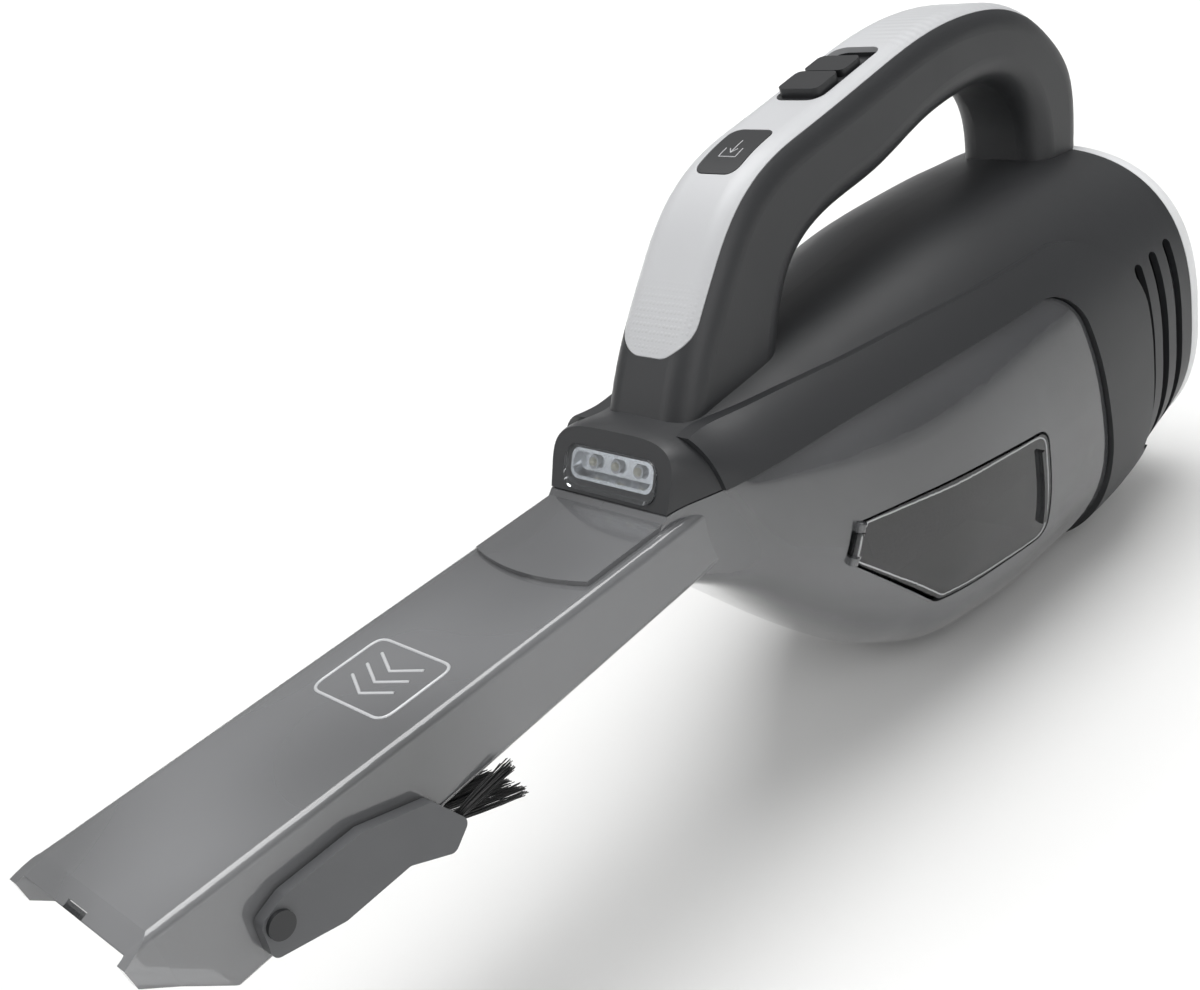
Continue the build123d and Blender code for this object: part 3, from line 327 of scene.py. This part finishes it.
finishOf = {
    "housing_left": charcoalAbs, "housing_right": charcoalAbs, "handle_insert": lightAbs,
    "power_slider": controlAbs, "release_button": controlAbs, "button_spring": platedSteel,
    "latch_lever": greyPolypropylene, "latch_pin": platedSteel, "lamp_lens": clearLens,
    "lamp_reflector": coatedReflector, "lamp_board": whiteLacquerBoard, "dust_bowl": smokedPolycarbonate,
    "dust_door": smokedWindow, "door_pin": platedSteel, "crevice_tool": smokedPolycarbonate,
    "brush_frame": greyPolypropylene, "brush_pins": controlAbs, "brush_bristles": blackNylon,
    "filter_frame": greyPolypropylene, "pre_filter": nylonMesh, "pleated_filter": filterPaper,
    "bowl_seal": mouldedRubber, "fan_shroud": greyPolypropylene, "fan": controlAbs,
    "motor_mount": greyPolypropylene, "motor_screws": platedSteel, "motor_can": platedSteel,
    "motor_end": controlAbs, "motor_bearings": nickelStrip, "motor_shaft": platedSteel,
    "motor_rotor": copperWinding, "battery_cells": shrinkSleeve, "cell_links": nickelStrip,
    "battery_holder": controlAbs, "control_board": glassEpoxyBoard, "power_switch": controlAbs,
    "charge_jack": controlAbs, "charge_lamp": clearLens, "wiring": copperWinding,
    "housing_screws": platedSteel, "rear_cap": whiteAbs, "exhaust_filter": openCellFoam}
for nodeName, obj in nodes.items():
    obj.data.materials.clear()
    obj.data.materials.append(finishOf[nodeName])
print("finishes assigned")


def skinOf(nodeName):
    # search tree of a CAD node's surface, for laying detail on it
    mesh = nodes[nodeName].data
    return BVHTree.FromPolygons([v.co[:] for v in mesh.vertices], [p.vertices[:] for p in mesh.polygons])


def layOn(skin, points, start, direction, sink):
    # points carried along direction onto the skin, then sunk by a little
    laid = []
    for point in points:
        origin = Vector([p if d == 0 else s for p, d, s in zip(point, direction, start)])
        hit, normal = skin.ray_cast(origin, Vector(direction))[:2]
        if hit is not None:
            laid.append(hit - normal.normalized() * sink * (1 if normal.dot(Vector(direction)) < 0 else -1))
    return laid


def bead(name, paths, radius, material, body, closed=False):
    # a thin raised line of round section
    curve = bpy.data.curves.new(name, "CURVE")
    curve.dimensions = "3D"
    curve.bevel_depth = radius
    curve.bevel_resolution = 3
    curve.use_fill_caps = True
    for path in paths:
        spline = curve.splines.new("POLY")
        spline.points.add(len(path) - 1)
        for point, place in zip(spline.points, path):
            point.co = (*place, 1.0)
        spline.use_cyclic_u = closed
    obj = bpy.data.objects.new(name, curve)
    bpy.context.scene.collection.objects.link(obj)
    curve.materials.append(material)
    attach(obj, body)


def roundedPath(corners, radius, steps=6):
    # closed outline in 2D with its corners rounded
    path = []
    count = len(corners)
    for i, corner in enumerate(corners):
        corner = Vector(corner)
        before = (Vector(corners[i - 1]) - corner).normalized() * radius
        after = (Vector(corners[(i + 1) % count]) - corner).normalized() * radius
        for k in range(steps + 1):
            t = k / steps
            path.append(corner + before * (1 - t) ** 2 + after * t ** 2)
    return path


def denser(path, gap, closed=True):
    # the same path with no two points further apart than gap
    out = []
    pairs = list(zip(path, path[1:] + path[:1] if closed else path[1:]))
    for a, b in pairs:
        count = max(1, math.ceil((b - a).length / gap))
        out += [a.lerp(b, k / count) for k in range(count)]
    if not closed:
        out.append(path[-1])
    return out


def meshPiece(name, shape, material, body, smooth=True):
    # an object of its own from a bmesh, riding the body
    mesh = bpy.data.meshes.new(name)
    shape.to_mesh(mesh)
    shape.free()
    obj = bpy.data.objects.new(name, mesh)
    bpy.context.scene.collection.objects.link(obj)
    mesh.materials.append(material)
    for polygon in mesh.polygons:
        polygon.use_smooth = smooth
    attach(obj, body)
    return obj


badge = {"fromFrontMm": 94.5, "lengthMm": 24.0, "widthMm": 31.0, "cornerMm": 4.0, "beadMm": 0.55,
         "chevrons": 3, "chevronMm": 9.0, "chevronRiseMm": 2.2, "gapMm": 5.0, "sinkMm": 0.2, "aboveM": 0.3}


def addBadge():
    # plain raised frame with chevrons on top of the nozzle
    skin = skinOf("dust_bowl")
    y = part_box("dust_bowl")[0].y + badge["fromFrontMm"] * mm
    halfX, halfY = badge["widthMm"] / 2 * mm, badge["lengthMm"] / 2 * mm
    corners = [(-halfX, y - halfY), (halfX, y - halfY), (halfX, y + halfY), (-halfX, y + halfY)]
    outline = denser(roundedPath(corners, badge["cornerMm"] * mm), 3 * mm)
    down, start = (0, 0, -1), (0, 0, badge["aboveM"])
    sink = badge["sinkMm"] * mm
    frameLine = layOn(skin, [(p.x, p.y, 0) for p in outline], start, down, sink)
    bead("badgeFrame", [frameLine], badge["beadMm"] * mm, raisedLinePaintedHighlight, "bowl", True)
    lines = []
    reach, rise = badge["chevronMm"] * mm, badge["chevronRiseMm"] * mm
    for k in range(badge["chevrons"]):
        middle = y + (k - (badge["chevrons"] - 1) / 2) * badge["gapMm"] * mm
        shape = [Vector((-reach, middle + rise)), Vector((0, middle - rise)), Vector((reach, middle + rise))]
        lines.append(layOn(skin, [(p.x, p.y, 0) for p in denser(shape, 2 * mm, False)], start, down, sink))
    bead("badgeChevrons", lines, badge["beadMm"] * mm, raisedLinePaintedHighlight, "bowl")


addBadge()

buttonMark = {"beadMm": 0.22, "halfWidthMm": 3.2, "arrowMm": 2.2, "gapMm": 0.6, "sinkMm": 0.12,
              "aboveM": 0.3}


def addButtonMark():
    # tray with an arrow: let go of the bowl
    skin = skinOf("release_button")
    low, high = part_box("release_button")
    y = low.y + (high.y - low.y) * 0.5
    w, a = buttonMark["halfWidthMm"] * mm, buttonMark["arrowMm"] * mm
    strokes = [
        [(-w, y + 0.2 * a), (-w, y - 1.6 * a), (w, y - 1.6 * a), (w, y + 0.2 * a)],
        [(0, y + 2.0 * a), (0, y - 0.8 * a)],
        [(-0.45 * w, y + 0.1 * a), (0, y - 0.8 * a), (0.45 * w, y + 0.1 * a)]]
    lines = []
    for stroke in strokes:
        dense = denser([Vector(p) for p in stroke], buttonMark["gapMm"] * mm, False)
        lines.append(layOn(skin, [(p.x, p.y, 0) for p in dense], (0, 0, buttonMark["aboveM"]), (0, 0, -1),
                           buttonMark["sinkMm"] * mm))
    bead("buttonPictogram", lines, buttonMark["beadMm"] * mm, padPrintedInk, "button")


addButtonMark()

doorPaintedHighlight = {"insetMm": 1.3, "beadMm": 0.32, "steps": 180, "findMm": 0.2, "farthestMm": 70,
            "sinkMm": 0.05, "outsideM": 0.2, "nearSideM": 0.02}


def addDoorPaintedHighlight():
    # painted highlight: a fine raised line round the door in the lighter plastic, standing in for the light the
    # door's edge catches
    skin = skinOf("dust_door")
    mesh = nodes["dust_door"].data
    side = [Vector((v.co.y, v.co.z)) for v in mesh.vertices]
    middle = sum(side, Vector((0, 0))) / len(side)
    outline = []
    for step in range(doorPaintedHighlight["steps"]):
        turn = 2 * math.pi * step / doorPaintedHighlight["steps"]
        way = Vector((math.cos(turn), math.sin(turn)))
        far = 0.0
        for count in range(round(doorPaintedHighlight["farthestMm"] / doorPaintedHighlight["findMm"])):
            reach = count * doorPaintedHighlight["findMm"]
            spot = middle + way * reach * mm
            hit = skin.ray_cast(Vector((doorPaintedHighlight["outsideM"], spot.x, spot.y)), Vector((-1, 0, 0)))[0]
            if hit is not None and hit.x > doorPaintedHighlight["nearSideM"]:
                far = reach
        outline.append(middle + way * (far - doorPaintedHighlight["insetMm"]) * mm)
    line = layOn(skin, [(0, p.x, p.y) for p in outline], (doorPaintedHighlight["outsideM"], 0, 0), (-1, 0, 0),
                 doorPaintedHighlight["sinkMm"] * mm)
    bead("doorEdgePaintedHighlight", [line], doorPaintedHighlight["beadMm"] * mm, raisedLinePaintedHighlight, "door", True)


addDoorPaintedHighlight()
print("badge, pictogram and door bead added")

bristle = {"perTuft": 58, "thicknessMm": 0.34, "segments": 4, "seed": 7, "taper": 0.35,
           "footDepthMm": 1.8, "tipDepthMm": 2.4,      # ends of a tuft that give its axis
           "footSpreadMm": 1.0, "tipSpreadMm": 2.0, "droopMm": 0.6, "shortest": 0.90}


def addTube(shape, path, radius, sides=5):
    # a thin tapered tube along the path
    rings = []
    for i, place in enumerate(path):
        way = (path[min(i + 1, len(path) - 1)] - path[max(i - 1, 0)]).normalized()
        across = way.cross(Vector((0, 0, 1)))
        across = across.normalized() if across.length > 1e-6 else Vector((1, 0, 0))
        other = way.cross(across)
        r = radius * (1 - bristle["taper"] * i / (len(path) - 1))
        rings.append([shape.verts.new(place + (across * math.cos(2 * math.pi * k / sides)
                                               + other * math.sin(2 * math.pi * k / sides)) * r)
                      for k in range(sides)])
    for lower, upper in zip(rings, rings[1:]):
        for k in range(sides):
            shape.faces.new((lower[k], lower[(k + 1) % sides], upper[(k + 1) % sides], upper[k]))
    shape.faces.new(rings[0][::-1])
    shape.faces.new(rings[-1])


def islandsOf(mesh):
    # groups of vertices that hang together, one per tuft
    parent = list(range(len(mesh.vertices)))

    def root(i):
        while parent[i] != i:
            parent[i] = parent[parent[i]]
            i = parent[i]
        return i
    spots = {}
    for v in mesh.vertices:
        key = tuple(round(c, 6) for c in v.co)
        parent[root(v.index)] = root(spots.setdefault(key, v.index))
    for edge in mesh.edges:
        parent[root(edge.vertices[0])] = root(edge.vertices[1])
    groups = {}
    for v in mesh.vertices:
        groups.setdefault(root(v.index), []).append(v.co.copy())
    return list(groups.values())


def addBristles():
    # bundles of filaments in place of the solid tufts
    chance = random.Random(bristle["seed"])
    shape = bmesh.new()
    for points in islandsOf(nodes["brush_bristles"].data):
        front = min(p.y for p in points)
        back = max(p.y for p in points)
        near = [p for p in points if p.y < front + bristle["footDepthMm"] * mm]
        far = [p for p in points if p.y > back - bristle["tipDepthMm"] * mm]
        foot = sum(near, Vector()) / len(near)
        tip = sum(far, Vector()) / len(far)
        for _ in range(bristle["perTuft"]):
            turn, spread = chance.uniform(0, 2 * math.pi), math.sqrt(chance.random())
            side = Vector((math.cos(turn), 0, math.sin(turn))) * spread
            droop = chance.uniform(-bristle["droopMm"], bristle["droopMm"]) * mm
            reach = chance.uniform(bristle["shortest"], 1.0)
            start = foot + side * bristle["footSpreadMm"] * mm
            end = foot + (tip - foot) * reach + side * bristle["tipSpreadMm"] * mm
            path = []
            for k in range(bristle["segments"] + 1):
                t = k / bristle["segments"]
                path.append(start.lerp(end, t) + Vector((0, 0, droop)) * math.sin(math.pi * t))
            addTube(shape, path, bristle["thicknessMm"] / 2 * mm)
    filaments = meshPiece("brushFilaments", shape, blackNylon, "brush")
    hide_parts("brush_bristles")


addBristles()
print("bristles added")

net = {"around": 84, "along": 34, "threadMm": 0.45, "liftMm": 0.35,
       "frontShare": 0.758,                  # front radius of the cup as a share of its rear one
       "startMm": 0.4, "spareMm": 2.0}       # kept clear of the cup's ends


def addFilterNet():
    # open weave drawn over the pre-filter cup, seen through the door
    low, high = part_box("pre_filter")
    axis = (low.z + high.z) / 2
    rear = (high.x - low.x) / 2
    shape = bmesh.new()
    rows = []
    for j in range(net["along"] + 1):
        t = j / net["along"]
        radius = rear * (net["frontShare"] + (1 - net["frontShare"]) * t) + net["liftMm"] * mm
        y = low.y + net["startMm"] * mm + (high.y - low.y - net["spareMm"] * mm) * t
        shift = 0.5 if j % 2 else 0.0
        rows.append([shape.verts.new((radius * math.cos(2 * math.pi * (k + shift) / net["around"]), y,
                                      axis + radius * math.sin(2 * math.pi * (k + shift) / net["around"])))
                     for k in range(net["around"])])
    for j, (a, b) in enumerate(zip(rows, rows[1:])):
        for k in range(net["around"]):
            n = (k + 1) % net["around"]
            halves = [(a[k], a[n], b[k]), (a[n], b[n], b[k])]
            if j % 2:
                halves = [(a[k], a[n], b[n]), (a[k], b[n], b[k])]
            for half in halves:
                shape.faces.new(half)
    threads = meshPiece("filterNet", shape, blackNylon, "filter", False)
    threads.modifiers.new("threads", "WIREFRAME").thickness = net["threadMm"] * mm


addFilterNet()
print("filter net added")

diode = {"xMm": (-9.0, 0.0, 9.0), "radiusMm": 1.3, "inFrontMm": 1.0}


def addDiodes():
    # domed diode faces in the reflector
    low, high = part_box("lamp_board")
    shape = bmesh.new()
    for x in diode["xMm"]:
        place = Matrix.Translation((x * mm, low.y + diode["inFrontMm"] * mm, (low.z + high.z) / 2))
        bmesh.ops.create_icosphere(shape, subdivisions=3, radius=diode["radiusMm"] * mm, matrix=place)
    meshPiece("diodeDomes", shape, diodePhosphor, "housing")


addDiodes()

floorLook = {"colour": "#f4f4f3", "shade": "#efefee", "roughness": 0.6, "ior": 1.5, "mottleMm": 400,
             "grainMm": 2.0, "grainStrength": 0.05, "sizeM": 16.0}


def addFloor():
    # plain pale studio floor
    bpy.ops.mesh.primitive_plane_add(size=floorLook["sizeM"], location=(0, 0, 0))
    floor = bpy.context.object
    floor.name = "studioFloor"
    floor.data.materials.append(mouldedPlastic("paintedFloorPale", floorLook))


addFloor()

lights = {
    "topSoftbox": {"place": (-0.15, 0.25, 1.5), "aim": (0, 0, 0.08), "size": (1.4, 1.0), "power": 20},
    "sideFill": {"place": (1.4, -0.5, 0.9), "aim": (0, 0, 0.08), "size": (0.9, 1.4), "power": 7},
    "frontFill": {"place": (-0.9, -1.5, 1.1), "aim": (0, -0.1, 0.1), "size": (1.0, 1.0), "power": 6},
    "floorWash": {"place": (-2.6, 1.3, 1.6), "aim": (-2.7, 1.2, 0), "size": (3.4, 2.6), "power": 75,
                  "spread": 1.3}}
surround = {"low": "#b9babb", "high": "#ffffff", "strength": 0.42}


def addLights():
    # large soft sources and an even pale surround
    for name, look in lights.items():
        data = bpy.data.lights.new(name, "AREA")
        data.shape = "RECTANGLE"
        data.size, data.size_y = look["size"]
        data.energy = look["power"]
        data.spread = look.get("spread", math.pi)   # the floor wash stays off the object
        lamp = bpy.data.objects.new(name, data)
        lamp.location = look["place"]
        lamp.rotation_euler = (Vector(look["aim"]) - Vector(look["place"])).to_track_quat("-Z", "Y").to_euler()
        bpy.context.scene.collection.objects.link(lamp)
    world = bpy.data.worlds.new("studioSurround")
    bpy.context.scene.world = world
    world.use_nodes = True
    tree = world.node_tree
    way = addNode(tree, "ShaderNodeTexCoord")
    axes = addNode(tree, "ShaderNodeSeparateXYZ", None, {"Vector": (way, "Generated")})
    fade = addNode(tree, "ShaderNodeMapRange", {"From Min": 0.0, "From Max": 0.6}, {"Value": (axes, "Z")})
    sky = addNode(tree, "ShaderNodeMix", {"data_type": "RGBA", 6: toLinear(surround["low"]),
                                          7: toLinear(surround["high"])}, {0: (fade, "Result")})
    background = tree.nodes["Background"]
    background.inputs["Strength"].default_value = surround["strength"]
    tree.links.new(sky.outputs[2], background.inputs["Color"])


addLights()

cameraLook = {"lens": 48.0, "sensor": 36.0, "place": (0.3163, -0.3613, 0.3343),
              "right": (0.6851, 0.6690, -0.2882), "up": (-0.1746, 0.5350, 0.8266)}


def addCamera():
    data = bpy.data.cameras.new("studioCamera")
    data.lens = cameraLook["lens"]
    data.sensor_width = cameraLook["sensor"]
    data.sensor_fit = "HORIZONTAL"
    data.clip_start = 0.01
    camera = bpy.data.objects.new("studioCamera", data)
    right = Vector(cameraLook["right"]).normalized()
    up = Vector(cameraLook["up"])
    up = (up - right * up.dot(right)).normalized()
    back = right.cross(up)
    turn = Matrix((right, up, back)).transposed().to_4x4()
    camera.matrix_world = Matrix.Translation(cameraLook["place"]) @ turn
    bpy.context.scene.collection.objects.link(camera)
    bpy.context.scene.camera = camera


addCamera()
bpy.context.scene.view_settings.view_transform = "Standard"
print("floor, lights and camera added")
